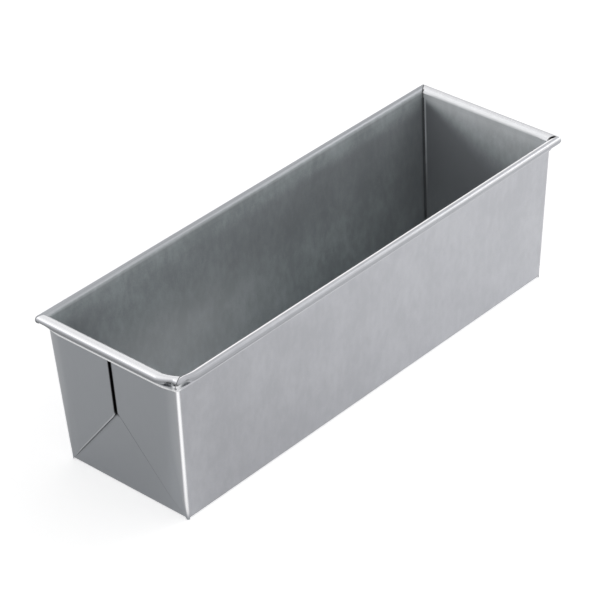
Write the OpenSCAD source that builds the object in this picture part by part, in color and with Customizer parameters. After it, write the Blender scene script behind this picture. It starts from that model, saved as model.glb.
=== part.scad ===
// Open pullman loaf pan of the 13 x 4 x 4 inch pattern, in millimetres.
// The pan is folded from one sheet of aluminised steel. At each upright corner
// the spare sheet is folded double into an ear that lies flat on the outside of
// the end wall. The top edge is rolled outwards round a steel wire.
// X runs along the pan, Y across it and Z up. The origin is the centre of the
// underside, and the two ends are alike.

/* [Pan] */
// Length of the mouth between the insides of the two end walls
mouth_l = 331; // [200:1:420]
// Width of the mouth between the insides of the two long walls
mouth_w = 101.6; // [80:0.1:150]
// Height of the pan from the table to the top of the rim
pan_h = 102; // [80:1:140]
// Lean of each end wall from upright, in degrees
end_lean = 2.5; // [0.5:0.1:5]
// Lean of each long wall from upright, in degrees
side_lean = 2.5; // [0.5:0.1:5]

/* [Sheet] */
// Thickness of the sheet
sheet_t = 0.8; // [0.6:0.05:1.1]
// Inside radius of the bend from the bottom into the walls
bottom_bend_r = 1.2; // [0.8:0.1:4]
// Outside radius of the upright corner, where a long wall turns into an ear
corner_r = 2.6; // [2:0.1:5]
// Radius inside the pan at its upright corners
inner_corner_r = 0.6; // [0.3:0.1:2]
// Gap left between two layers of sheet that are folded on each other
fold_gap = 0.1; // [0.05:0.05:0.2]

/* [Ears] */
// Width of the slit where the two ears of one end meet
slit_w = 2; // [0.8:0.1:4]
// Distance of the slit from the middle of the end wall, to the left seen from outside
slit_shift = 1; // [-4:0.5:4]
// How far the ears' fold lines lie beyond half of the spare angle, in degrees, as
// the bends at the corner take up sheet
fold_extra = 1.2; // [0:0.2:3]

/* [Rim] */
// Diameter of the wire inside the rolled rim
wire_d = 3.4; // [2.4:0.1:5]
// Gap between the wire and the sheet rolled round it
wire_gap = 0.2; // [0.1:0.05:0.3]
// Gap between the two cut ends of the wire
wire_end_gap = 1; // [0.5:0.5:4]
// Angle below level, seen from the wire, where the sheet leaves the wire
neck_angle = 75; // [50:1:80]
// Depth of the lower edge of the lip below the middle of the wire
lip_drop = 5.4; // [4.8:0.1:10]
// Length of the lip that is cut away before each corner
corner_notch = 5; // [3:0.5:12]
// Width of the cut that parts the rim at each corner
corner_cut_w = 0.5; // [0.3:0.1:1]
// Depth of that cut below the top of the rim
corner_cut_h = 8.5; // [6:0.5:12]

/* [Hidden] */
$fn = 48;

// Rolled rim: inside and outside radius, and the height of its middle
roll_in = wire_d / 2 + wire_gap;
roll_r = roll_in + sheet_t;
roll_z = pan_h - roll_r;
// Two layers of an ear and the gaps under them
ear_t = 2 * (sheet_t + fold_gap);
// How much wider the roll is at the ends, where it also holds the ears
end_seat = ear_t + fold_gap;
// Level thickness of a leaning wall, to a hundredth of a millimetre
end_wall_t = round(100 * sheet_t / cos(end_lean)) / 100;
side_wall_t = round(100 * sheet_t / cos(side_lean)) / 100;
// Outside of the walls at the table, half the length and half the width
base_x = mouth_l / 2 + end_wall_t - roll_z * tan(end_lean);
base_y = mouth_w / 2 + side_wall_t - roll_z * tan(side_lean);
// Step at which the roll stands outside the face of the wall that it grows from
roll_step = 0.03;
// Middle of the wire along the ends and along the long walls
wire_x = mouth_l / 2 + end_wall_t + roll_step + roll_in + end_seat;
wire_y = mouth_w / 2 + side_wall_t + roll_step + roll_in;
// From the corner of the mouth to the middle of the wire, and the slope of that
corner_run = [wire_x - mouth_l / 2, wire_y - mouth_w / 2];
corner_slope = atan2(corner_run[1], corner_run[0]);
// Radius of the wire's bends along its middle line, tight enough to clear the
// roll at the corners
wire_bend_r = wire_d / 2 + 3 * wire_gap;
// Room round the section of the roll when a piece of it is cut out
reach = 2 * roll_r;
// The ears end just under the roll, and the gaps between layers a little higher
ear_top = roll_z - wire_gap;
gap_top = roll_z - wire_gap / 2;
// Fold line of an ear, from the upright: the spare angle of the sheet at the corner
// is halved by it, but for the small extra
fold_angle = (90 - end_lean - side_lean) / 2 - side_lean + fold_extra;
// Steps of the arcs of the roll and of the bend at the bottom, in degrees
arc_step = 10;
bend_step = 15;
// Thickness of the slices that a leaning block is spanned over
slice_h = 0.02;
// Room to cut through
over = 5;

function wall_x(z) = base_x + z * tan(end_lean);
function wall_y(z) = base_y + z * tan(side_lean);

// Leaning block with round corners and a round lower edge. Its sides lie "grow_x"
// and "grow_y" outside the walls of the pan, and it stands on the level "foot".
module leaning_block(grow_x, grow_y, side_r, foot_r, foot, head) {
    hull() {
        for (turn = [0 : bend_step : 90]) {
            z = foot + foot_r * (1 - sin(turn));
            inset = foot_r * (1 - cos(turn));
            block_slice(grow_x - inset, grow_y - inset, side_r, z);
        }
        block_slice(grow_x, grow_y, side_r, head);
    }
}

module block_slice(grow_x, grow_y, side_r, z) {
    r = side_r;
    for (sx = [-1, 1])
        for (sy = [-1, 1])
            translate([sx * (wall_x(z) + grow_x - r), sy * (wall_y(z) + grow_y - r), z])
                cylinder(h = slice_h, r = r, $fn = 32);
}

// Puts a flat drawing on the outside of the end wall at -X. The drawing's x runs
// towards -Y and its y runs up the slope of the wall. "out" is the distance from
// the wall and "thick" the thickness given to the drawing.
module on_end_wall(out, thick) {
    translate([-base_x, 0, 0])
        rotate([0, -end_lean, 0])
            translate([-out, 0, 0])
                rotate([90, 0, -90])
                    linear_extrude(thick)
                        children();
}

// Outline of one ear on the end wall, up to the height "head". "trim" moves the
// fold line up, and "edge" is the distance kept from the outside of the long wall.
module ear_outline(side, trim, edge, head) {
    top = head / cos(end_lean);
    corner_low = base_y - edge;
    corner_high = base_y + top * tan(side_lean) - edge;
    slit_edge = slit_w / 2 - side * slit_shift;
    lift = trim / sin(fold_angle);
    fold_high = (base_y - slit_edge) / tan(fold_angle) + lift;
    fold_low = edge / tan(fold_angle) + lift;
    polygon([
        [side * slit_edge, top],
        [side * slit_edge, fold_high],
        [side * corner_low, fold_low],
        [side * corner_high, top]
    ]);
}

// Both ears of the end at -X, with the round corners that join them to the long
// walls. The slit between them is left open.
module end_ears() {
    intersection() {
        leaning_block(ear_t / cos(end_lean), 0, corner_r, bottom_bend_r + sheet_t, 0, ear_top);
        for (side = [-1, 1])
            on_end_wall(-sheet_t, ear_t + sheet_t + over)
                ear_outline(side, 0, -over, pan_h);
    }
}

// Gaps between the layers of the two ears of the end at -X. The first lies under
// the ear and is open along its fold line. The second parts the two layers and
// runs round the edge of the end wall to the seam inside the pan.
module ear_gaps() {
    seam_y = side_wall_t + fold_gap;
    for (side = [-1, 1]) {
        on_end_wall(0, fold_gap)
            ear_outline(side, -over, seam_y + sheet_t, gap_top);
        on_end_wall(sheet_t + fold_gap, fold_gap)
            ear_outline(side, sheet_t, seam_y - fold_gap, gap_top);
        intersection() {
            on_end_wall(-sheet_t - over, ear_t + over - sheet_t)
                ear_outline(side, sheet_t, side_wall_t, gap_top);
            seam_sheet(-side, seam_y);
        }
    }
}

// Thin upright sheet along the inside of a long wall
module seam_sheet(side, depth) {
    translate([0, side * base_y, 0])
        rotate([side * -side_lean, 0, 0])
            translate([-mouth_l, side > 0 ? -depth : depth - fold_gap, 0])
                cube([2 * mouth_l, fold_gap, 2 * pan_h]);
}

function turned(angle) = [cos(angle), sin(angle)];

// Points along an arc round the middle of the wire
function arc(radius, from, to) =
    let (steps = ceil(abs(to - from) / arc_step))
    [for (i = [0 : steps]) radius * turned(from + (to - from) * i / steps)];

function moved(points, by) = [for (p = points) p + by];

function without_repeats(points) =
    [for (i = [0 : len(points) - 1])
        if (norm(points[i] - points[(i + 1) % len(points)]) > 0.001) points[i]];

// Distance from "p" down the neck to the lip. The lip leans with the wall, and
// "face" is its place at the height of the middle of the wire.
function neck_run(p, face, lean) =
    (p[0] - face - p[1] * tan(lean)) / (sin(neck_angle) - cos(neck_angle) * tan(lean));

function on_neck(p, face, lean) =
    p - neck_run(p, face, lean) * [sin(neck_angle), cos(neck_angle)];

// Section of the sheet rolled over the wire, seen along the rim, with the middle
// of the wire at the origin and the wall on the left. "seat" is the thickness of
// the ears that the roll holds besides the wire.
module roll_section(seat) {
    polygon(without_repeats(concat(
        arc(roll_r, -neck_angle, 90),
        moved(arc(roll_r, 90, 180), [-seat, 0]),
        moved(arc(roll_in, 180, 90), [-seat, 0]),
        arc(roll_in, 90, -neck_angle)
    )));
}

// Section of the neck and of the lip that lies flat on the wall below the wire
module lip_section(seat, lean) {
    neck_out = roll_r * turned(-neck_angle);
    neck_in = roll_in * turned(-neck_angle);
    face = (seat > 0 ? 0 : fold_gap) - roll_in - roll_step;
    foot = face - lip_drop * tan(lean);
    polygon([
        neck_out,
        neck_in,
        on_neck(neck_in, face, lean),
        [foot, -lip_drop],
        [foot + sheet_t, -lip_drop],
        on_neck(neck_out, face + sheet_t, lean)
    ]);
}

// Straight run of a section along X, "length" long and centred, with the middle
// of the wire at the distance "wire" from the middle of the pan
module run_along_x(wire, length) {
    translate([-length / 2, wire, roll_z])
        rotate([90, 0, 90])
            linear_extrude(length)
                children();
}

// Ground plan of one side of the rim. It ends at each corner on a line through
// the corner of the mouth and the middle of the wire, a little clear of it.
// "half" and "wire" place the middle of the wire at the corner, and "slope" is
// the direction of the line.
module mitred_plan(half, wire, slope) {
    shift = corner_cut_w / 4 / cos(slope);
    inner = norm(corner_run) + over;
    outer_x = half + over;
    outer_y = wire + shift + over * tan(slope);
    inner_x = half - inner * cos(slope);
    inner_y = wire + shift - inner * sin(slope);
    polygon([
        [outer_x, outer_y],
        [outer_x, outer_y + reach],
        [-outer_x, outer_y + reach],
        [-outer_x, outer_y],
        [-inner_x, inner_y],
        [inner_x, inner_y]
    ]);
}

// Rolled rim of one side, with its wall at +Y
module straight_rim(half, wire, slope, seat, lean) {
    intersection() {
        run_along_x(wire, 2 * half)
            roll_section(seat);
        translate([0, 0, roll_z - reach])
            linear_extrude(2 * reach)
                mitred_plan(half, wire, slope);
    }
    run_along_x(wire, 2 * (half - corner_notch))
        lip_section(seat, lean);
}

// Round outer corner of the rim at +X and +Y
module corner_rim() {
    translate([wire_x, wire_y, roll_z])
        rotate_extrude(angle = 90)
            polygon(concat(arc(roll_r, -neck_angle, 90), arc(roll_in, 90, -neck_angle)));
}

// Cut through the rim and the top of the upright corner at +X and +Y. It runs
// from the corner of the mouth out through the middle of the wire.
module corner_cut() {
    translate([mouth_l / 2, mouth_w / 2, pan_h - corner_cut_h])
        rotate([0, 0, corner_slope])
            translate([-over, -corner_cut_w / 2, 0])
                cube([norm(corner_run) + 2 * over, corner_cut_w, corner_cut_h + over]);
}

module four_corners() {
    for (mx = [0, 1])
        for (my = [0, 1])
            mirror([mx, 0, 0])
                mirror([0, my, 0])
                    children();
}

// Sheet of the pan: bottom, walls, ears and rolled rim, all in one piece
module pan_shell() {
    color([0.67, 0.68, 0.69])
        difference() {
            union() {
                leaning_block(0, 0, corner_r - ear_t, bottom_bend_r + sheet_t, 0, roll_z);
                for (turn = [0, 180])
                    rotate([0, 0, turn]) {
                        end_ears();
                        straight_rim(wire_x, wire_y, corner_slope, 0, side_lean);
                        rotate([0, 0, -90])
                            straight_rim(wire_y, wire_x, 90 - corner_slope, end_seat, end_lean);
                    }
                four_corners()
                    corner_rim();
            }
            leaning_block(-end_wall_t, -side_wall_t, inner_corner_r, bottom_bend_r, sheet_t, pan_h + over);
            for (turn = [0, 180])
                rotate([0, 0, turn])
                    ear_gaps();
            four_corners()
                corner_cut();
        }
}

// Wire in the rolled rim, bent to the shape of the mouth, with its two ends
// meeting in the middle of the long wall at +Y
module rim_wire() {
    run_x = wire_x - wire_bend_r;
    run_y = wire_y - wire_bend_r;
    color([0.55, 0.55, 0.56])
        translate([0, 0, roll_z]) {
            for (side = [-1, 1]) {
                translate([side * wire_x, 0, 0])
                    rotate([90, 0, 0])
                        cylinder(h = 2 * run_y, d = wire_d, center = true);
                translate([side * (run_x + wire_end_gap / 2) / 2, wire_y, 0])
                    rotate([0, 90, 0])
                        cylinder(h = run_x - wire_end_gap / 2, d = wire_d, center = true);
            }
            translate([0, -wire_y, 0])
                rotate([0, 90, 0])
                    cylinder(h = 2 * run_x, d = wire_d, center = true);
            four_corners()
                translate([run_x, run_y, 0])
                    rotate_extrude(angle = 90)
                        translate([wire_bend_r, 0])
                            circle(d = wire_d);
        }
}

pan_shell();
rim_wire();
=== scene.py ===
# Open pullman loaf pan of dull aluminised steel. X runs along the pan, Y across it
# and Z up, with the origin at the centre of the underside. The pan's sizes are in
# millimetres, and metal_piece and the camera turn them into metres.
import math
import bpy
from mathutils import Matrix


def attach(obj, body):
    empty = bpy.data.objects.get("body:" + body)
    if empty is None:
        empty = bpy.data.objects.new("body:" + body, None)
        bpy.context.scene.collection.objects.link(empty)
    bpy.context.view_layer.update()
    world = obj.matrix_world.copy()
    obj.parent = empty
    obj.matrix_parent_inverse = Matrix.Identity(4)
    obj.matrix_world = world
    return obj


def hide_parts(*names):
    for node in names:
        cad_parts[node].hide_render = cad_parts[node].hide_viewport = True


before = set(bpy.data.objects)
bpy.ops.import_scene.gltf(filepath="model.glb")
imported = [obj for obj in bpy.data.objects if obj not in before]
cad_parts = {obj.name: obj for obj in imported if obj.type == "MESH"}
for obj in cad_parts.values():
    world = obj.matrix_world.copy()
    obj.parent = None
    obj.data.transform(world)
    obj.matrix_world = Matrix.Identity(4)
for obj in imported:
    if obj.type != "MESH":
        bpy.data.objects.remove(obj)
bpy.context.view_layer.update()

from types import SimpleNamespace

import bmesh
import bpy
import numpy as np
from mathutils import Matrix

# The pan is folded from one blank. First its bottom and four walls: a skin inside and
# a skin outside, 0.8 mm apart, that lean out 2.5 degrees. Inside, the end walls'
# upright edges round away from the long walls and leave a narrow crevice.
MM = 0.001
SHEET = 0.8
ROLL_Z = 99.3  # height of the wire's middle
MOUTH = np.array([165.5, 50.8])  # half its length and width, at the height ROLL_Z
SLOPE = math.tan(math.radians(2.5))
WALL_TOP = 96.0  # where the walls end and the rim's sheet goes on
BEND_IN, TUB_CORNER = 1.2, 1.2  # inside radius of the bend at the bottom and of the upright corners
CREVICE_DEPTH, CREVICE_ROUND, CREVICE_GAP = 0.9, 1.35, 0.8
CREVICE_BACK = 0.2  # least metal left behind the crevice
SLIT_MIDDLE, SLIT_HALF, SLIT_FOOT = 1.0, 1.0, 53.0  # off the middle, half width, lower end
WALL_HOLLOW, BOTTOM_HOLLOW = 0.28, 0.22  # depth of the hollows


def smooth(t):
    """Eases from 0 to 1 as t goes from 0 to 1: three t squared less two t cubed."""
    t = np.clip(t, 0.0, 1.0)
    return t * t * (3 - 2 * t)


def ramp(value, start, stop):
    """Eases from 0 where the value is "start" to 1 where it is "stop"."""
    return smooth((value - start) / (stop - start))


def half_size(z, out=0.0):
    """Half length and half width of the pan's inside at height z, moved out by "out"."""
    level = MOUTH + (np.asarray(z, float)[..., None] - ROLL_Z) * SLOPE + out
    return level[..., 0], level[..., 1]


def denting(x, z, seed):
    """Shallow hollows of a hand-worked sheet: a sum of five slow sine waves along
    x and z, with directions and phases drawn from "seed", about one unit high."""
    rng = np.random.default_rng(seed)
    total = np.zeros(np.broadcast(x, z).shape)
    for _ in range(5):
        kx, kz, phase = rng.uniform(0.012, 0.05), rng.uniform(0.01, 0.05), rng.uniform(0, 2 * np.pi)
        total += np.sin(kx * x + rng.choice([-1, 1]) * kz * z + phase)
    return total / 3


def quarter(z, inside):
    """A quarter of the level outline at the heights z, from the middle of an end round
    the corner to the middle of a long wall. Outside, the corner is an arc that bulges
    over the crevice, under the ear. Inside, it is an arc low down, and higher up the
    end wall's edge rounds away from the long wall into the crevice."""
    z = z[:, None]
    a, b = half_size(z, 0.0 if inside else SHEET)
    t = np.linspace(0, 1, 13)[None, :]
    r = TUB_CORNER
    x = a - r + r * np.cos(t * np.pi / 2)
    y = b - r + r * np.sin(t * np.pi / 2)
    depth = CREVICE_DEPTH * ramp(z, 4, 16)
    if inside:
        # Nine of the twelve steps round the edge. The rest are on the long wall.
        bend = np.clip(t / 0.75, 0, 1) * np.pi / 2
        fold_x = a + depth * (1 - np.cos(bend))
        fold_y = b - CREVICE_ROUND + (CREVICE_ROUND - CREVICE_GAP) * np.sin(bend)
        share = ramp(z, 3, 11)
        x = x * (1 - share) + share * fold_x
        y = y * (1 - share) + share * np.where(t < 0.8, fold_y, b)
    along = np.sin(np.linspace(0, np.pi / 2, 33))[None, :-1]
    end_x, end_y = a + 0 * along, y[:, :1] * along
    if not inside:
        bulge = np.maximum(depth - SHEET + CREVICE_BACK, 0)
        x = x + bulge * (1 - np.sin(t * np.pi / 2))
        end_x = end_x + bulge * ramp(end_y - b, -4.5, -2.5)
    side_x = x[:, -1:] * np.linspace(1, 0, 61)[None, 1:]
    ring_x = np.concatenate([end_x, x, side_x], 1)
    ring_y = np.concatenate([end_y, y, b + 0 * side_x], 1)
    return np.stack([ring_x, ring_y], -1)


def ring(z, inside):
    """The whole outline: the quarter and its three mirror images, end to end."""
    q = quarter(z, inside)
    flip = q[:, ::-1]
    parts = [q, flip[:, 1:] * [-1, 1], q[:, 1:] * [-1, -1], flip[:, 1:-1] * [1, -1]]
    return np.concatenate(parts, 1)


def tub_skin(inside):
    """One skin of bottom and walls. Rows go from the middle line of the bottom out
    to the bend, round the bend and up the wall. On the bottom each row is the bend's
    outline drawn in towards the middle line."""
    out, floor_z, r = (0.0, SHEET, BEND_IN) if inside else (SHEET, 0.0, BEND_IN + SHEET)
    turn = np.radians(np.linspace(0, 90, 7))
    wall_z = np.linspace(floor_z + r, WALL_TOP, 41)[1:]
    rows_z = np.concatenate([floor_z + r * (1 - np.cos(turn)), wall_z])
    pull = np.concatenate([r * (1 - np.sin(turn)), np.zeros(len(wall_z))])
    a, b = half_size(rows_z, out)
    level = ring(rows_z, inside) * np.stack([(a - pull) / a, (b - pull) / b], -1)[:, None, :]
    z = np.repeat(rows_z[:, None], level.shape[1], 1)
    spine_x = np.clip(level[0, :, 0], b[0] - a[0], a[0] - b[0])
    spine = np.stack([spine_x, 0 * spine_x], -1)
    bottom = spine + (level[0] - spine) * np.linspace(0, 1, 13)[:-1, None, None]
    bottom_z = np.full(bottom.shape[:2] + (1,), floor_z)
    grid = np.concatenate([np.concatenate([bottom, bottom_z], -1),
                           np.concatenate([level, z[..., None]], -1)], 0)
    # Hollows: the long walls bow in and out, and the bottom lifts a little. Both fade
    # towards the bends, the corners and the rim.
    x, y, h = (grid[..., i].copy() for i in range(3))
    fade = ramp(h, WALL_TOP, WALL_TOP - 30) * ramp(h, 2, 27)
    fade = fade * ramp(np.abs(x), MOUTH[0] - 6, MOUTH[0] - 31)
    on_side = (np.abs(y) > half_size(h, out)[1] - 0.6) * np.sign(y)
    grid[..., 1] += on_side * WALL_HOLLOW * denting(x, h, 3) * fade
    fade = ramp(np.abs(x), MOUTH[0] - 12, MOUTH[0] - 37) * ramp(np.abs(y), MOUTH[1] - 8, MOUTH[1] - 28)
    grid[..., 2] += (h < 1.0) * BOTTOM_HOLLOW * (1.2 + denting(x, 3 * y, 5)) * fade
    return grid


# The sheet is steel with a thin skin of aluminium: a dull grey metal with a faint
# mottle, drawn out along the height of the walls. Light and shade are painted on it:
# highlights as bright, smooth metal, shade as darker metal, and the deep shade of
# folds, gaps, crevices and seams as near black.
LIGHT_STEEL, DARK_STEEL = (0.512, 0.518, 0.545), (0.450, 0.456, 0.482)
# The second pair: a bright metal for painted highlights and a darker one for painted shade.
PAINTED_HIGHLIGHT_STEEL, PAINTED_SHADE_STEEL = (0.95, 0.95, 0.96), (0.34, 0.354, 0.374)
MATT_LIGHT, MATT_DARK = (1.02, 1.075, 1.05), (0.87, 0.925, 0.90)  # these multiply the colour
# Near black, for painted deep shade.
PAINTED_DEEP_SHADE = (0.012, 0.012, 0.013)
# The second and the last roughness go with the painted highlights and the painted deep shade.
DULL_ROUGH, PAINTED_HIGHLIGHT_ROUGH, MATT_ROUGH, PAINTED_DEEP_SHADE_ROUGH = 0.38, 0.14, 0.85, 0.6
MOTTLE_ROUGH = 0.05
# Three noises, each with its stretch along X, Y and Z, its scale and its detail.
CLOUD = ((1, 1, 0.8), 42, 4)
STREAK, STREAK_SHARE = ((1, 1, 0.5), 260, 3), 0.7
GRAIN, GRAIN_SHARE = ((1, 1, 1), 1500, 2), 0.5
MOTTLE_LOW, MOTTLE_HIGH = 0.93, 1.37
BUMP_DISTANCE = 0.0001


def link(tree, out, into):
    tree.links.new(out, into)


def mill_finish_and_painted_light():
    """Group that turns a place on the sheet into its colour, roughness and height.
    The mottle is cloud + 0.7 streak + 0.5 grain, spread over 0 to 1. The masks then
    blend in matt metal, painted shade, painted highlights and painted deep shade, one
    after the other."""
    g = bpy.data.node_groups.new("mill_finish_and_painted_light", "ShaderNodeTree")
    for name, way, kind in (
            ("Place", "INPUT", "Vector"), ("Light", "INPUT", "Color"), ("Dark", "INPUT", "Color"),
            ("Dull", "INPUT", "Float"), ("PaintedHighlight", "INPUT", "Float"), ("PaintedShade", "INPUT", "Float"),
            ("PaintedDeepShade", "INPUT", "Float"), ("Matt", "INPUT", "Float"), ("Colour", "OUTPUT", "Color"),
            ("Roughness", "OUTPUT", "Float"), ("Height", "OUTPUT", "Float")):
        g.interface.new_socket(name=name, in_out=way, socket_type="NodeSocket" + kind)
    put, get = g.nodes.new("NodeGroupOutput"), g.nodes.new("NodeGroupInput")

    def noise(stretch, scale, detail):
        """A noise on the place, which is stretched first."""
        mapping, tex = g.nodes.new("ShaderNodeMapping"), g.nodes.new("ShaderNodeTexNoise")
        mapping.inputs["Scale"].default_value = stretch
        tex.inputs["Scale"].default_value = scale
        tex.inputs["Detail"].default_value = detail
        link(g, get.outputs["Place"], mapping.inputs["Vector"])
        link(g, mapping.outputs["Vector"], tex.inputs["Vector"])
        return tex.outputs["Fac"]

    def weighted(a, b, weight):
        """a + weight * b"""
        node = g.nodes.new("ShaderNodeMath")
        node.operation = "MULTIPLY_ADD"
        node.inputs[1].default_value = weight
        link(g, b, node.inputs[0])
        link(g, a, node.inputs[2])
        return node.outputs[0]

    def blend(kind, a, b, share, how="MIX"):
        """a where the share is 0 and b, or a times b, where it is 1. Each of a and b is
        a colour, a number or a socket."""
        node = g.nodes.new("ShaderNodeMix")
        node.data_type, node.blend_type = kind, how
        ends = [socket for socket in node.inputs if socket.enabled and socket.name in ("A", "B")]
        for value, socket in zip((a, b), ends):
            if isinstance(value, tuple):
                socket.default_value = (*value, 1)
            elif isinstance(value, float):
                socket.default_value = value
            else:
                link(g, value, socket)
        link(g, share, node.inputs["Factor"])
        return [socket for socket in node.outputs if socket.enabled][0]

    streak, cloud, grain = noise(*STREAK), noise(*CLOUD), noise(*GRAIN)
    spread = g.nodes.new("ShaderNodeMapRange")
    spread.inputs["From Min"].default_value = MOTTLE_LOW
    spread.inputs["From Max"].default_value = MOTTLE_HIGH
    summed = weighted(weighted(cloud, streak, STREAK_SHARE), grain, GRAIN_SHARE)
    link(g, summed, spread.inputs["Value"])
    mottle = spread.outputs["Result"]
    colour = blend("RGBA", get.outputs["Dark"], get.outputs["Light"], mottle)
    tint = blend("RGBA", MATT_DARK, MATT_LIGHT, mottle)
    colour = blend("RGBA", colour, tint, get.outputs["Matt"], "MULTIPLY")
    for metal, mask in ((PAINTED_SHADE_STEEL, "PaintedShade"), (PAINTED_HIGHLIGHT_STEEL, "PaintedHighlight"), (PAINTED_DEEP_SHADE, "PaintedDeepShade")):
        colour = blend("RGBA", colour, metal, get.outputs[mask])
    link(g, colour, put.inputs["Colour"])
    rough = weighted(get.outputs["Dull"], mottle, MOTTLE_ROUGH)
    for level, mask in ((PAINTED_HIGHLIGHT_ROUGH, "PaintedHighlight"), (MATT_ROUGH, "Matt"), (PAINTED_DEEP_SHADE_ROUGH, "PaintedDeepShade")):
        rough = blend("FLOAT", rough, level, get.outputs[mask])
    link(g, rough, put.inputs["Roughness"])
    link(g, weighted(streak, grain, GRAIN_SHARE), put.inputs["Height"])
    return g


MILL_AND_PAINTED_LIGHT = mill_finish_and_painted_light()


def steel(name, light, dark, bump):
    """A metal with the mill's mottle on Object coordinates, and light and shade painted
    on by the masks of a point attribute: painted highlights in red, painted shade in
    green, painted deep shade in blue and matt in alpha."""
    made = bpy.data.materials.new(name)
    made.use_nodes = True
    tree = made.node_tree
    shader = tree.nodes["Principled BSDF"]
    shader.inputs["Metallic"].default_value = 1.0
    place, finish_and_painted_light, height, masks, parts = (tree.nodes.new("ShaderNode" + t) for t in (
        "TexCoord", "Group", "Bump", "Attribute", "SeparateColor"))
    finish_and_painted_light.node_tree = MILL_AND_PAINTED_LIGHT
    finish_and_painted_light.inputs["Light"].default_value = (*light, 1)
    finish_and_painted_light.inputs["Dark"].default_value = (*dark, 1)
    finish_and_painted_light.inputs["Dull"].default_value = DULL_ROUGH
    masks.attribute_name = "finish_and_painted_light"
    height.inputs["Strength"].default_value = bump
    height.inputs["Distance"].default_value = BUMP_DISTANCE
    link(tree, masks.outputs["Color"], parts.inputs["Color"])
    for channel, mask in (("Red", "PaintedHighlight"), ("Green", "PaintedShade"), ("Blue", "PaintedDeepShade")):
        link(tree, parts.outputs[channel], finish_and_painted_light.inputs[mask])
    link(tree, masks.outputs["Alpha"], finish_and_painted_light.inputs["Matt"])
    link(tree, place.outputs["Object"], finish_and_painted_light.inputs["Place"])
    link(tree, finish_and_painted_light.outputs["Colour"], shader.inputs["Base Color"])
    link(tree, finish_and_painted_light.outputs["Roughness"], shader.inputs["Roughness"])
    link(tree, finish_and_painted_light.outputs["Height"], height.inputs["Height"])
    link(tree, height.outputs["Normal"], shader.inputs["Normal"])
    return made


SHEET_STEEL = steel("aluminised_sheet", LIGHT_STEEL, DARK_STEEL, bump=0.25)
MERGE_DISTANCE = 0.0002 * MM
SHARP_ANGLE = math.radians(38)


def quads(rows, cols, first=0):
    """Corner numbers of the faces of a grid of points, whose last column joins its
    first."""
    r0, c0 = np.meshgrid(np.arange(rows - 1), np.arange(cols), indexing="ij")
    c1 = (c0 + 1) % cols
    corners = [r0 * cols + c0, (r0 + 1) * cols + c0, (r0 + 1) * cols + c1, r0 * cols + c1]
    return np.stack(corners, -1).reshape(-1, 4) + first


def metal_piece(name, points, faces, masks, metal=SHEET_STEEL, node="pan_shell"):
    """Puts points in millimetres and rows of corner numbers into a mesh, with the masks
    painted highlight, painted shade, painted deep shade and matt, merges the doubles,
    turns the faces outwards and shades it smooth."""
    points = points.reshape(-1, 3)
    mesh = bpy.data.meshes.new(name)
    mesh.from_pydata((points * MM).tolist(), [], faces)
    finish_and_painted_light = np.stack([np.ravel(mask) for mask in np.broadcast_arrays(*masks)], -1)
    mesh.attributes.new("finish_and_painted_light", "FLOAT_COLOR", "POINT").data.foreach_set("color", finish_and_painted_light.ravel())
    work = bmesh.new()
    work.from_mesh(mesh)
    bmesh.ops.remove_doubles(work, verts=work.verts, dist=MERGE_DISTANCE)
    bmesh.ops.dissolve_degenerate(work, edges=work.edges, dist=MERGE_DISTANCE)
    bmesh.ops.recalc_face_normals(work, faces=work.faces)
    work.to_mesh(mesh)
    work.free()
    mesh.shade_smooth()
    mesh.set_sharp_from_angle(angle=SHARP_ANGLE)
    mesh.materials.append(metal)
    piece = bpy.data.objects.new(name, mesh)
    bpy.context.scene.collection.objects.link(piece)
    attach(piece, "root")
    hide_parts(node)


inner_skin, outer_skin = tub_skin(True), tub_skin(False)
rows, cols = inner_skin.shape[:2]
inner_edge = (rows - 1) * cols + np.arange(cols)
outer_edge = inner_edge + rows * cols
top_strip = np.stack([inner_edge, np.roll(inner_edge, -1), np.roll(outer_edge, -1), outer_edge], -1)
tub_faces = np.concatenate([quads(rows, cols), quads(rows, cols, first=rows * cols), top_strip])

# Outside, the end walls are painted a shade darker than the long walls, for the way the light falls on
# them, and painted deep shade fills the slit between the ears.
x, y, z = (outer_skin[..., i] for i in range(3))
on_end = ramp(np.abs(x) - half_size(z, SHEET)[0], -0.5, -0.1) * ramp(z, 0, 2)
from_slit = np.abs(y + np.sign(x) * SLIT_MIDDLE) - SLIT_HALF
painted_slit_shade = on_end * ramp(from_slit, 0.8, 0.3) * ramp(z, SLIT_FOOT - 1, SLIT_FOOT + 1)

# Inside, painted deep shade fills the crevice, and the rounded edge beside it has a painted highlight,
# stronger high up.
x, y, z = (inner_skin[..., i] for i in range(3))
inside_a, inside_b = half_size(z)
to_side, to_end, drop = inside_b - np.abs(y), inside_a - np.abs(x), WALL_TOP - z
in_crevice = ramp(to_side, CREVICE_GAP + 0.25, CREVICE_GAP + 0.05) * (to_end < 0.02) * ramp(z, 4, 12)
painted_lit_edge = ramp(to_side, 2.7, 2.4) * (1 - in_crevice) * (to_end < 0.05) * ramp(z, 10, 75)

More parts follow.
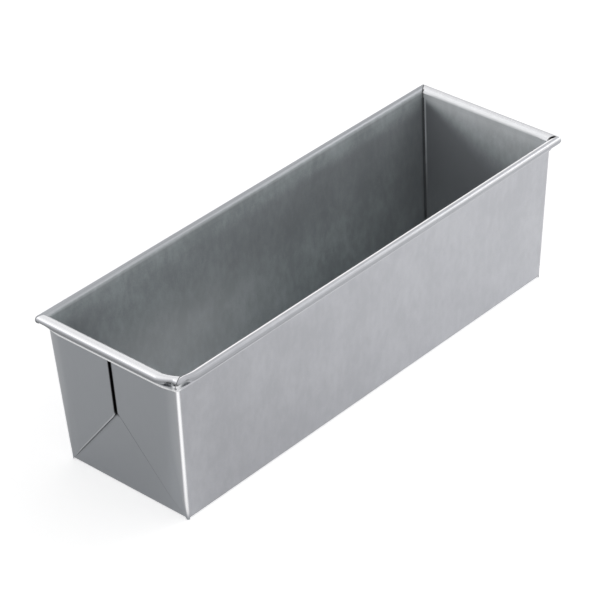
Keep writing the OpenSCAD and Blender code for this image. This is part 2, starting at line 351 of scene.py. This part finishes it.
# Painted light: high on the far end wall, above the shadow that the back wall casts
# on it, and on the back wall and the bottom towards the near end. Painted shade: that
# shadow on the far end wall, in and round the far corner, under the rim on the back
# wall towards the far end, and on the bottom towards the far end, weaker low down and
# deepened a little with near black. The "shade" of a place is its depth over its
# distance from the back wall, and the painted shadow follows it.
on_far_end, on_back, on_bottom = (to_end < 0.5) & (x > 0), (to_side < 0.5) & (y > 0), z < 3
shade = drop / (np.abs(inside_b - y) + 3)
painted_inner_light = 0.06 + on_far_end * (0.12 * ramp(z, 89, 97) + 0.36 * ramp(shade, 0.5, 0))
painted_inner_light = painted_inner_light + on_back * 0.42 * ramp(z, 80, 30) * ramp(x, 50, -80)
painted_inner_light = painted_inner_light + on_bottom * 0.35 * ramp(x, 20, -100)
thin_low = 1 - 0.45 * ramp(z, 50, 0)
painted_inner_shade = on_far_end * ramp(shade, 0.2, 0.7) * (1 - painted_lit_edge) * thin_low
for where, level in ((on_back, 0.62 * ramp(to_end, 70, 0) * ramp(drop, 0, 12) * thin_low),
                     (on_back, 0.5 * ramp(z, 30, 70) * ramp(x, -150, 50) * ramp(drop, 2.7, 11.7)),
                     (on_bottom, 0.7 * ramp(x, -10, 160))):
    painted_inner_shade = np.maximum(painted_inner_shade, where * level)
inner_painted_highlight = np.clip(np.maximum(painted_inner_light, 0.45 * painted_lit_edge), 0, 1)
inner_painted_deep_shade = np.maximum(0.95 * in_crevice, 0.2 * painted_inner_shade)
# The masks inside and outside: painted highlight, painted shade, painted deep shade and matt.
tub_masks = [np.concatenate([inside + 0 * x, outside + 0 * x]) for inside, outside in (
    (inner_painted_highlight, 0), (0.93 * painted_inner_shade, on_end), (inner_painted_deep_shade, painted_slit_shade), (1, 0))]
metal_piece("bottom_and_walls", np.concatenate([inner_skin, outer_skin]), tub_faces.tolist(), tub_masks)

# At each corner the spare sheet is folded double into an ear, which lies flat on
# the outside of the end wall. Its lower edge is a fold that climbs from the bottom
# corner, and its upper part is cut off at the slit in the middle of the end.
EAR, EAR_AT_CORNER, EAR_RAMP = 1.8, 0.6, 10.0  # thick at the fold, at the corner, and the way between
EAR_FOOT, EAR_FOOT_TOP = 0.12, 16.0  # share of the thickness at the foot, all of it from here up
FOLD_RUN, FOLD_START = math.tan(math.radians(41.2)), 0.9
SLIT_ROUND = 0.25  # share of the fold's half circle that is left along the slit
EAR_TOP, NOTCH_BOTTOM = 99.0, 94.3
CLOSE_ROWS_TOP = 24.0
CORNER_STEPS, FACE_STEPS, FOLD_STEPS = 17, 16, 8


def bell(value, middle, width):
    """1 where the value is "middle", falling off as e to the minus square of its
    distance from there in widths."""
    return np.exp(-((value - middle) / width) ** 2)


def ear_points(z, toward):
    """Points of one ear at the corner +X, +Y, for a grid of heights z whose columns
    follow a level section: from the long wall round the upright corner on an arc,
    along the end wall, back at the ear's edge on a half circle and under itself.
    "toward" is the middle of the slit."""
    def sizes(h):
        a, b = half_size(h, SHEET)
        rise = EAR_FOOT + (1 - EAR_FOOT) * ramp(h, 0, EAR_FOOT_TOP)
        thin, thick = EAR_AT_CORNER * rise, EAR * rise
        r = thin + TUB_CORNER
        edge = np.maximum(b - FOLD_START - h * FOLD_RUN, toward + SLIT_HALF)
        round_share = SLIT_ROUND + (1 - SLIT_ROUND) * ramp(h, SLIT_FOOT + 2, SLIT_FOOT - 1)
        return a, b, thin, thick, r, np.minimum(edge + thick / 2, b - r), round_share

    splits = np.cumsum([CORNER_STEPS, FACE_STEPS, FOLD_STEPS])
    z_corner, z_face, z_fold, z_under = np.split(z, splits, axis=1)
    a, b, thin, thick, r, edge, _ = sizes(z_corner)
    turn = np.linspace(0, np.pi / 2, CORNER_STEPS)
    corner = np.stack([a + thin - r + r * np.sin(turn), b - r + r * np.cos(turn)], -1)
    a, b, thin, thick, r, edge, _ = sizes(z_face)
    run = smooth(np.linspace(0, 1, FACE_STEPS + 1)[1:])
    swell = smooth((b - r - edge) * run / np.minimum(EAR_RAMP, b - r - edge + 0.01))
    face = np.stack([a + thin + (thick - thin) * swell, b - r + (edge - b + r) * run], -1)
    a, b, thin, thick, r, edge, round_share = sizes(z_fold)
    turn = np.linspace(0, np.pi, FOLD_STEPS + 1)[1:]
    back = edge - thick / 2 * (np.sin(turn) * round_share + 1 - round_share)
    fold = np.stack([a + thick / 2 * (1 + np.cos(turn)), back], -1)
    a, b, thin, thick, r, edge, round_share = sizes(z_under)
    back = edge - thick / 2 * (1 - round_share)
    under = np.stack([a - 0.1, back + (b - 0.9 * r - back) * run], -1)
    return np.concatenate([corner, face, fold, under], 1)


def ear(name, x_side, y_side):
    """An ear from the bottom corner up to the roll. Its columns are points of the
    level section and its rows are heights, and the columns at the middle of the
    upright corner stop lower, where the blank is notched. The upright corner has a
    painted highlight, the rest of the ear and the foot painted shade, and painted deep
    shade sits in the fold and on the slit's edge."""
    toward = SLIT_MIDDLE * (1 if (x_side < 0) == (y_side > 0) else -1)
    column = np.arange(CORNER_STEPS + 2 * FACE_STEPS + FOLD_STEPS)
    count, middle = len(column), (CORNER_STEPS - 1) / 2
    notch = (EAR_TOP - NOTCH_BOTTOM) * ramp(np.abs(column - middle), 3, 0.8)
    heights = np.concatenate([np.linspace(0, 1, 13)[:-1] ** 1.5 * CLOSE_ROWS_TOP,
                              np.linspace(CLOSE_ROWS_TOP, EAR_TOP, 36)])
    z = (heights / EAR_TOP)[:, None] * (EAR_TOP - notch)
    grid = np.concatenate([ear_points(z, toward), z[..., None]], -1) * [x_side, y_side, 1]

    # The fold's edge, below the slit, has a line of painted shade on the front ears and a line of painted
    # highlight on the others.
    fold_start = CORNER_STEPS + FACE_STEPS
    at_slit = ramp(z, SLIT_FOOT, SLIT_FOOT + 2)
    fold_edge = (column >= fold_start - 1) * (column < fold_start + 2) * (1 - at_slit)
    painted_highlight = bell(column, middle, 6.5) * (column < CORNER_STEPS + 3) + 0.3 * fold_edge * (y_side > 0)
    painted_shade = np.maximum(ramp(column, middle + 1, middle + 7), 0.9 * ramp(z, 4, 1))
    painted_deep_shade = ramp(column, fold_start + 1 - 2 * at_slit, fold_start + 4 - 4 * at_slit)
    painted_deep_shade = np.maximum(painted_deep_shade * (0.85 + 0.15 * at_slit), 0.6 * fold_edge * (y_side < 0))
    base = (len(heights) - 1) * count
    faces = [*quads(len(heights), count).tolist(), list(range(count)), list(range(base, base + count))]
    metal_piece(name, grid, faces, (painted_highlight * ramp(z, 0.5, 7.5), painted_shade, painted_deep_shade, 0))


for x_side, end in ((-1, "left"), (1, "right")):
    for y_side, wall in ((-1, "front"), (1, "back")):
        ear("ear_%s_%s" % (end, wall), x_side, y_side)

# The top edge is rolled outwards round the wire. From under the wire the sheet runs
# back to the wall as a neck and ends in a lip that lies flat on it. The roll is cut
# at the corners, and at the near left corner its two ends are hammered well in.
ROLL_R, ROLL_IN = 2.7, 1.9  # outside and inside radius of the roll
ROLL_WAVE = 0.05
END_SEAT = 1.9  # how much wider than a circle the roll is on the ends
STEP = 0.03  # gap where sheet lies on sheet or wire
NECK, KNEE = math.radians(75), 0.2  # angle where the sheet leaves the wire, length of its next bend
LIP_FLARE, FLARE_HEIGHT = 0.45, 1.3  # how far the lip's edge stands off, and from how high
NECK_NOTCH, LIP_NOTCH, PRESSED_NOTCH = 6.0, 4.5, 2.8  # how far each ends before the wire's corner
WIRE = MOUTH + SHEET + STEP + ROLL_IN + np.array([END_SEAT, 0])
CORNER_RUN = WIRE - MOUTH
CUT = {"near": 0.22, "left": 0.12, "back": 0.3, "right": 1.3}  # half the width of each cut
DRAWN_LENGTH, DRAWN_POWER = 11.0, 1.4  # the hammered length, and how steeply it moves in
DRAWN_INNER, DRAWN_OUTER = np.array([3.7, 0.5]), np.array([4.2, 2.2])  # moves of its sides, X and Y
PRESSED_FROM, PRESSED_TOP = math.radians(12), 0.3  # the angle and the height where it turns flat
INNER_LINE_FROM = math.radians(88)
# The kinds of points of the section, by how they may move.
ON_WALL, IN_ROLL, IN_NECK, IN_LIP, PRESSED = range(5)
# A long edge and an end of the rim: half the wire's length there and its distance from
# the pan's middle, how far the corner of the wire lies past that of the mouth along and
# across the edge, how much wider than a circle the roll is, the lip, the crease at the
# hammered corner, and how strong the painted highlights, painted deep shade and matt
# metal are there.
LONG = SimpleNamespace(
    half=WIRE[0], wire=WIRE[1], run=CORNER_RUN[0], across=CORNER_RUN[1], seat=0.0,
    lip_drop=5.2, lip_gap=0.1, lip_highlight=0.1, crease_rate=3.0, crease_lag=1.8, crease_width=0.3,
    shine_at=0.6, pressed_highlight=0.5, pressed_matt=0.95, lower_deep_shade=0.06)
END = SimpleNamespace(
    half=WIRE[1], wire=WIRE[0], run=CORNER_RUN[1], across=CORNER_RUN[0], seat=END_SEAT,
    lip_drop=5.9, lip_gap=0.0, lip_highlight=0.75, crease_rate=2.6, crease_lag=1.1, crease_width=0.55,
    shine_at=0.82, pressed_highlight=0.2, pressed_matt=0.5, lower_deep_shade=0.3)


def along_line(start, stop, steps):
    """Points from the start, which is left out, to the stop, in even steps."""
    t = np.linspace(0, 1, steps + 1)[1:, None]
    return start + (stop - start) * t


def rim_section(edge):
    """Section of roll, neck and lip seen along the rim, as points (distance out from
    the wire's middle, height above it). One row of points is the face that shows and
    the other the hidden face, in pairs. Two more rows are the same section with its
    lower half pressed flat on the wall, and last come the kinds of both sections."""
    seat, lip_drop = edge.seat, edge.lip_drop
    rise = np.linspace(WALL_TOP - ROLL_Z, 0, 6)[:-1]
    wall = -seat - ROLL_R - STEP + STEP * ramp(rise, -3, 0) + rise * SLOPE
    shown = [np.stack([wall, rise], -1)]
    hidden = [shown[0] + [SHEET, 0]]
    over, under = np.linspace(np.pi, 0, 31), np.linspace(0, -NECK, 14)[1:]
    for faces, r in ((shown, ROLL_R), (hidden, ROLL_IN)):
        faces.append(np.stack([(r + seat / 2) * np.cos(over) - seat / 2, r * np.sin(over)], -1))
        faces.append(np.stack([r * np.cos(under), r * np.sin(under)], -1))
    way = -np.array([math.sin(NECK), math.cos(NECK)])
    for faces, thick in ((shown, SHEET), (hidden, 0.0)):
        start = faces[-1][-1]
        face = -ROLL_IN - STEP + edge.lip_gap + thick
        reach = (start[0] - face - start[1] * SLOPE) / (math.sin(NECK) - math.cos(NECK) * SLOPE)
        knee = start + reach * way
        foot = np.array([face - lip_drop * SLOPE + LIP_FLARE, -lip_drop])
        waist = np.array([face - (lip_drop - FLARE_HEIGHT) * SLOPE, FLARE_HEIGHT - lip_drop])
        faces.append(along_line(start, knee - KNEE * way, 5))
        faces.append(along_line(knee - KNEE * way, knee + [0, -KNEE], 2))
        faces.append(along_line(knee + [0, -KNEE], waist, 3))
        faces.append(along_line(waist, foot, 4))
    order = [ON_WALL, IN_ROLL, IN_ROLL, IN_NECK, IN_NECK, IN_LIP, IN_LIP]
    kinds = np.repeat(order, [len(part) for part in shown])
    shown, hidden = np.concatenate(shown), np.concatenate(hidden)
    kept = (kinds == ON_WALL) | (shown[:, 1] > ROLL_R * math.sin(PRESSED_FROM))
    length = np.cumsum(np.hypot(*np.diff(shown, axis=0, prepend=shown[:1]).T) * ~kept)
    level = PRESSED_TOP - (lip_drop + PRESSED_TOP) * length / length[-1]
    face = -ROLL_IN - STEP + edge.lip_gap + level * SLOPE
    pressed = [np.where(kept[:, None], side, np.stack([face + thick, level], -1))
               for side, thick in ((shown, SHEET), (hidden, 0.0))]
    kinds = np.stack([kinds, np.where(kept, kinds, PRESSED)])
    return shown, hidden, *pressed, kinds


def rim_end(o, kinds, edge, cut):
    """Last stretch of one edge, as rows of level points, for points o out from the
    wire's middle. A point inside it ends on the cut, which leads from the corner of
    the mouth through the middle of the wire. One outside it goes on round the wire's
    corner up to the cut. The neck and the lip end earlier. Each point's own way is
    shared out evenly."""
    lean = math.atan2(edge.across, edge.run)
    straight = edge.half - 2 * DRAWN_LENGTH
    stop = edge.half + np.minimum(o, 0) * edge.run / edge.across - cut / math.sin(lean) * (o <= 0)
    for kind, notch in ((IN_NECK, NECK_NOTCH), (IN_LIP, LIP_NOTCH), (PRESSED, PRESSED_NOTCH)):
        stop = np.where(kinds == kind, edge.half - notch, stop)
    reach = np.maximum(o, 1e-3)
    sweep = (np.pi / 2 - lean) - np.arcsin(np.clip(cut / reach, 0, 1))
    sweep = np.where((o > 0) & (kinds < IN_NECK), np.maximum(sweep, 0), 0)
    first = stop - straight
    way = np.linspace(0, 1, 33)[:, None] * (first + reach * sweep)
    angle = np.clip((way - first) / reach, 0, sweep)
    x = straight + np.minimum(way, first) + reach * np.sin(angle)
    y = edge.wire + np.where(angle > 0, reach * np.cos(angle), o)
    return x, y


def rim_shape(edge, turn, seed, low, high):
    """Carries the section along one edge and turns it into its place. The roll waves
    a little along its length. Near the hammered corner the lower half of the section
    lies flat on the wall and the upper half moves in, by more outside than inside.
    "low" and "high" name the corners at its two ends."""
    shown, hidden, pressed_shown, pressed_hidden, kinds = rim_section(edge)

    def carried(section, kinds):
        """Rows of level points of a section from corner to corner."""
        o = section[:, 0]
        low_x, low_y = rim_end(o, kinds, edge, CUT[low])
        high_x, high_y = rim_end(o, kinds, edge, CUT[high])
        middle = np.linspace(-1, 1, 81)[1:-1, None] * high_x[0]
        return (np.concatenate([-low_x[::-1], middle, high_x]),
                np.concatenate([low_y[::-1], edge.wire + o + 0 * middle, high_y]))

    pairs = len(shown)
    section = np.concatenate([shown, hidden[::-1]])
    pressed = np.concatenate([pressed_shown, pressed_hidden[::-1]])
    kinds, pressed_kinds = np.concatenate([kinds, kinds[:, ::-1]], 1)
    o, h = section[:, 0], section[:, 1]
    x, y = carried(section, kinds)
    z = ROLL_Z + h + 0 * x
    free = np.where(kinds == IN_ROLL, 1.0, np.where(kinds == ON_WALL, ramp(h, h[0], 0), 0.0))
    y = y - ROLL_WAVE * (1 + denting(3 * x, 0 * x, seed)) * free

    # "near" grows from 0 to 1 along the last 11 mm before the hammered corner.
    corner = edge.half - edge.run
    near_side = (high == "near") - (low == "near")
    near = np.clip(1 - (corner - near_side * x) / DRAWN_LENGTH, 0, 1) * abs(near_side)
    creased = smooth(edge.crease_rate * near - edge.crease_lag)
    flat = creased * (pressed_kinds == PRESSED)
    flat_x, flat_y = carried(pressed, pressed_kinds)
    x, y, z = (a + flat * (b - a) for a, b in ((x, flat_x), (y, flat_y), (z, ROLL_Z + pressed[:, 1])))

    # On an end, what is pressed lies on the ear, which is thinner at the corner.
    on_ear = (pressed_kinds == PRESSED) * np.clip((1.5 - h) / 4, 0, 1) * (edge is END)
    y = y - on_ear * (EAR - EAR_AT_CORNER) * (1 - smooth((corner - 1 - np.abs(x)) / EAR_RAMP))
    along = np.abs(x)
    c, s = math.cos(turn), math.sin(turn)
    x, y = c * x - s * y, s * x + c * y
    grid = np.stack([x, y, z], -1)
    outward = np.clip((o + edge.seat + ROLL_R) / (2 * ROLL_R + edge.seat), 0, 1)[None, :, None]
    shift = DRAWN_INNER + (DRAWN_OUTER - DRAWN_INNER) * outward
    grid[..., :2] += shift * (near ** DRAWN_POWER * free * (1 - flat))[..., None]
    rows, cols = x.shape
    first = np.arange(pairs - 1)
    cap = np.stack([first, first + 1, cols - 2 - first, cols - 1 - first], -1)
    faces = np.concatenate([quads(rows, cols), cap, cap + (rows - 1) * cols])
    return SimpleNamespace(
        grid=grid, faces=faces.tolist(), x=x, o=o, h=h, kinds=kinds, near=near, creased=creased,
        flat=flat, to_corner=along - corner, to_tip=along - edge.half,
        inner_face=(kinds == ON_WALL) & (np.arange(cols) < pairs))


def rim_masks(edge, made, painted_levels):
    """Masks of one length of rim, by the angle of a point round the wire, which is 0
    on the outside, a quarter turn on top and a half turn on the inside. The levels
    passed in say how strong the painted highlights on its parts and the painted shade
    on its roll are, from 0 to 1."""
    h, kinds, flat, inner_face = made.h, made.kinds, made.flat, made.inner_face
    in_roll = kinds == IN_ROLL
    around = np.arctan2(h, made.o + edge.seat / 2)
    # The inner underside of the roll faces the wall and stays as matt as the wall is.
    tucked = ramp(around, math.radians(132), math.radians(157)) * in_roll * (h > 0)
    matt = np.maximum(np.maximum(inner_face, tucked), flat * edge.pressed_matt)

    # Painted highlights: the inner line of the roll, its top and flank, a line of shine
    # that stands for the key lamp's reflection and on a long edge grows towards the
    # right, the lip's edge and the pressed metal.
    over_top = painted_levels["top"] + (painted_levels["flank"] - painted_levels["top"]) * ramp(around, 1.3, 0.5)
    painted_highlight = np.where(around > INNER_LINE_FROM, painted_levels["inner_line"], over_top)
    to_right = ramp(made.x, -100, 140) if edge is LONG else 1
    painted_highlight = painted_highlight + painted_levels["shine"] * bell(around, edge.shine_at, 0.22) * to_right
    painted_highlight = painted_highlight + tucked * (painted_levels["tuck"] - painted_highlight)
    lip_edge = edge.lip_highlight * ramp(h, 1.5 - edge.lip_drop, 0.5 - edge.lip_drop)
    off_roll = np.where(kinds == IN_LIP, lip_edge, painted_levels["upper_wall"] * inner_face)
    painted_highlight = np.where(in_roll, painted_highlight, off_roll)
    at_hole = ramp(made.to_tip, -PRESSED_NOTCH - 3.2, -PRESSED_NOTCH - 2)
    pressed = np.maximum(0.3 * (h < 1 - edge.lip_drop), 0.85 * at_hole * (h < -1.2))
    painted_highlight = painted_highlight * (1 - flat) + flat * np.maximum(pressed, edge.pressed_highlight)
    streaks = denting(1.5 * made.x, 40 * np.arange(len(h)) + 0 * made.x, 7)
    painted_highlight = np.clip(painted_highlight + 0.09 * streaks * in_roll, 0, 1)

    # Painted deep shade: in the neck, the crease and the tips, above the crevices and low on the roll.
    lower = ramp(around, 0.5, 0.3) * ramp(around, -0.5, -0.2) * in_roll
    off_near = 1 - smooth(3 * made.near)
    tip = ramp(made.to_tip, -1, 2) * ramp(h, 1, -1) * in_roll
    at_corner = ramp(made.to_corner, -CREVICE_GAP, 0.3 - CREVICE_GAP) * (edge is END)
    painted_deep_shade = np.where(kinds == IN_NECK, 0.8, 0.0) * off_near
    for level in (made.creased * bell(h, 0.1, edge.crease_width) * (made.o > 0), 0.4 * tip * off_near,
                  0.95 * at_corner * np.maximum(inner_face, tucked), edge.lower_deep_shade * lower):
        painted_deep_shade = np.maximum(painted_deep_shade, level)

    # Painted shade: the back edge, the underside of the roll, and all below it on the ends.
    if edge is LONG:
        painted_shade = np.maximum(painted_levels["roll_shade"], 0.4 * lower) * in_roll * (1 - tucked)
    else:
        painted_shade = np.where(in_roll, np.maximum(painted_levels["roll_shade"], 0.95 * ramp(h, 1.9, 0.1)), 0.8)
        painted_shade = painted_shade * (kinds > ON_WALL) * (made.o > -edge.seat)
    return painted_highlight, painted_shade, painted_deep_shade, matt


for name, edge, turn, seed, low, high, painted_levels in (
        ("rim_back", LONG, 0.0, 40, "left", "back", dict(
            inner_line=0.0, top=0.0, flank=0.0, shine=0.0, roll_shade=0.75, tuck=0.3, upper_wall=0.1)),
        ("rim_front", LONG, math.pi, 71, "right", "near", dict(
            inner_line=0.95, top=0.05, flank=0.0, shine=0.6, roll_shade=0.0, tuck=0.5, upper_wall=0.1)),
        ("rim_right", END, -math.pi / 2, 25, "back", "right", dict(
            inner_line=0.5, top=0.3, flank=0.1, shine=0.2, roll_shade=0.0, tuck=0.9, upper_wall=0.5)),
        ("rim_left", END, math.pi / 2, 55, "near", "left", dict(
            inner_line=0.65, top=0.52, flank=0.1, shine=0.35, roll_shade=0.0, tuck=0.5, upper_wall=0.1))):
    made = rim_shape(edge, turn, seed, low, high)
    metal_piece(name, made.grid, made.faces, rim_masks(edge, made, painted_levels))

# The wire in the roll is plain drawn steel, bent to the shape of the mouth, with its
# ends meeting in the back wall's rim. It shows only in the cuts at the corners, and
# it is squeezed flat and lifted where the roll is hammered in.
WIRE_R, WIRE_BEND, WIRE_END_GAP = 1.7, 2.3, 1.0  # radius, bend radius and the gap between its ends
WIRE_SQUEEZE, WIRE_LIFT = 0.58, 1.15  # share of the radius lost, and how far it rises
# The wire's colours are near black: painted shade for the shadowed seams where it shows.
WIRE_LIGHT, WIRE_DARK = (0.07, 0.07, 0.072), (0.05, 0.05, 0.052)
WIRE_STEEL = steel("drawn_wire", WIRE_LIGHT, WIRE_DARK, bump=0.2)


def wire_tube():
    """A circle carried along the middle line, which is a rectangle with round corners,
    spaced evenly, and drawn in at the hammered corner together with the roll."""
    turn = np.linspace(0, np.pi / 2, 13)
    arcs = [WIRE * side - WIRE_BEND * side + WIRE_BEND * np.stack([np.cos(t), np.sin(t)], -1)
            for side, t in zip(np.array([[1, 1], [1, -1], [-1, -1], [-1, 1]]),
                               (np.pi / 2 - turn, -turn, -np.pi / 2 - turn, np.pi - turn))]
    line = np.concatenate([[[WIRE_END_GAP / 2, WIRE[1]]], *arcs, [[-WIRE_END_GAP / 2, WIRE[1]]]])
    length = np.concatenate([[0], np.cumsum(np.hypot(*np.diff(line, axis=0).T))])
    even = np.linspace(0, length[-1], 900)
    middle = np.stack([np.interp(even, length, line[:, i]) for i in range(2)], -1)
    near = np.clip(1 - np.max(middle + MOUTH, axis=1) / DRAWN_LENGTH, 0, 1)[:, None]
    middle = middle + near ** DRAWN_POWER * (DRAWN_INNER + DRAWN_OUTER) / 2
    squeezed = smooth(3.0 * near - 0.4)
    radius = WIRE_R * (1 - WIRE_SQUEEZE * squeezed)
    along = np.gradient(middle, axis=0)
    out = np.stack([-along[:, 1], along[:, 0]], -1) / np.hypot(*along.T)[:, None]
    around = np.linspace(0, 2 * np.pi, 17)[:-1]
    level = middle[:, None] + (radius * np.cos(around))[..., None] * out[:, None]
    height = ROLL_Z + WIRE_LIFT * squeezed + radius * np.sin(around)
    return np.concatenate([level, height[..., None]], -1)


tube = wire_tube()
rows, cols = tube.shape[:2]
caps = [list(range(cols)), list(range((rows - 1) * cols, rows * cols))]
metal_piece("wire", tube, [*quads(rows, cols).tolist(), *caps], (np.zeros((rows, cols)), 0, 0, 0),
            WIRE_STEEL, "rim_wire")

# A plain pale floor, just under the pan. It is white to the camera, and dimmer to the
# metal that mirrors it, with a painted glow in it for the metal only: a slow rise
# towards the right and a painted pool of light before the near corner. The floor, the
# lights and the fades on them are in metres.
FLOOR_SIZE, FLOOR_Z = 8, -0.0002
bpy.ops.mesh.primitive_plane_add(size=FLOOR_SIZE)
floor = bpy.context.object
floor.name = "floor"
floor.location.z = FLOOR_Z
pale = bpy.data.materials.new("pale_floor")
pale.use_nodes = True
tree = pale.node_tree
shader = tree.nodes["Principled BSDF"]
shader.inputs["Base Color"].default_value = (0.8, 0.8, 0.8, 1)
shader.inputs["Roughness"].default_value = 1.0
shader.inputs["Emission Color"].default_value = (1, 1, 1, 1)


def seen_level(tree, by_camera, by_metal, otherwise):
    """A value that depends on what looks: the camera, a mirroring or clear surface, or
    the light that falls on a surface. The last two are numbers or sockets."""
    path = tree.nodes.new("ShaderNodeLightPath")
    mirrored = tree.nodes.new("ShaderNodeMath")
    mirrored.operation = "MAXIMUM"
    link(tree, path.outputs["Is Glossy Ray"], mirrored.inputs[0])
    link(tree, path.outputs["Is Transmission Ray"], mirrored.inputs[1])
    level = otherwise
    for mask, value in ((mirrored.outputs[0], by_metal), (path.outputs["Is Camera Ray"], by_camera)):
        mix = tree.nodes.new("ShaderNodeMix")
        link(tree, mask, mix.inputs[0])
        for socket, held in ((mix.inputs[2], level), (mix.inputs[3], value)):
            if isinstance(held, float):
                socket.default_value = held
            else:
                link(tree, held, socket)
        level = mix.outputs[0]
    return level


def eased(tree, measure, coordinate, vector, values, levels):
    """A level that eases from the first of "levels" to the second as a measure of the
    coordinate and a vector, their dot product or their distance, does in "values"."""
    where, node, ease = (tree.nodes.new("ShaderNode" + t) for t in ("TexCoord", "VectorMath", "MapRange"))
    node.operation = measure
    node.inputs[1].default_value = vector
    link(tree, where.outputs[coordinate], node.inputs[0])
    ease.interpolation_type = "SMOOTHSTEP"
    for socket, value in zip(("From Min", "From Max", "To Min", "To Max"), (*values, *levels)):
        ease.inputs[socket].default_value = value
    link(tree, node.outputs["Value"], ease.inputs["Value"])
    return ease.outputs["Result"]


right_floor = eased(tree, "DOT_PRODUCT", "Object", (0.9, -0.43, 0), (-0.15, 0.25), (0.3, 0.6))
pool = eased(tree, "DISTANCE", "Object", (-0.235, -0.125, 0), (0.06, 0.14), (0.3, 0.0))
total = tree.nodes.new("ShaderNodeMath")
link(tree, pool, total.inputs[0])
link(tree, right_floor, total.inputs[1])
link(tree, seen_level(tree, 0.6, total.outputs[0], 0.0), shader.inputs["Emission Strength"])
floor.data.materials.append(pale)

# Soft studio light: a pale sky all round, white to the camera, and two soft lamps.
world = bpy.data.worlds.new("studio")
bpy.context.scene.world = world
world.use_nodes = True
tree = world.node_tree
left_behind = eased(tree, "DOT_PRODUCT", "Generated", (-0.6, 0.8, 0), (-0.1, 0.6), (0.97, 1.2))
from_right = eased(tree, "DOT_PRODUCT", "Generated", (0.8, -0.6, 0), (-1.0, 1.0), (0.25, 0.85))
sky = tree.nodes["Background"]
link(tree, seen_level(tree, 1.0, left_behind, from_right), sky.inputs["Strength"])
sky.inputs["Color"].default_value = (1, 1, 1, 1)


def lamp(name, place, target, size, power):
    """A square area lamp that faces the target."""
    data = bpy.data.lights.new(name, "AREA")
    data.size, data.energy = size, power
    made = bpy.data.objects.new(name, data)
    made.location = place
    away = np.array(place, float) - np.array(target, float)
    made.rotation_euler = (math.atan2(math.hypot(away[0], away[1]), away[2]), 0,
                           math.atan2(away[0], -away[1]))
    bpy.context.scene.collection.objects.link(made)


lamp("key", place=(1.4, -0.7, 1.0), target=(0, 0, 0.05), size=0.5, power=2.6)
lamp("back", place=(-0.7, 0.8, 0.9), target=(0, 0, 0.05), size=0.5, power=0.7)

# The camera of the photograph: how it is turned, its focal length in pixels of an
# image 608 wide, its distance, and how far the aim point is off the view's middle.
AZIMUTH, ELEVATION, ROLL = (math.radians(v) for v in (-46.725, 33.404, -2.664))
FOCAL_PIXELS, IMAGE, SENSOR = 2782.632, 608, 36
AIM, DISTANCE = np.array([0, 0, 48.18]), 1677.9
AIM_RIGHT, AIM_UP = 5.369, 3.682
away = np.array([math.sin(AZIMUTH) * math.cos(ELEVATION), -math.cos(AZIMUTH) * math.cos(ELEVATION),
                 math.sin(ELEVATION)])
level_right = np.array([math.cos(AZIMUTH), math.sin(AZIMUTH), 0])
level_up = np.cross(away, level_right)
right = math.cos(ROLL) * level_right + math.sin(ROLL) * level_up
up = -math.sin(ROLL) * level_right + math.cos(ROLL) * level_up
centre = AIM - (AIM_RIGHT * right + AIM_UP * up) + DISTANCE * away
camera = bpy.data.objects.new("camera", bpy.data.cameras.new("camera"))
bpy.context.scene.collection.objects.link(camera)
camera.location = centre * MM
camera.rotation_euler = Matrix(np.stack([right, up, away], 1).tolist()).to_euler()
camera.data.sensor_width = SENSOR
camera.data.lens = FOCAL_PIXELS * SENSOR / IMAGE
camera.data.clip_start, camera.data.clip_end = 0.05, 30
bpy.context.scene.camera = camera
bpy.context.scene.view_settings.view_transform = "Standard"
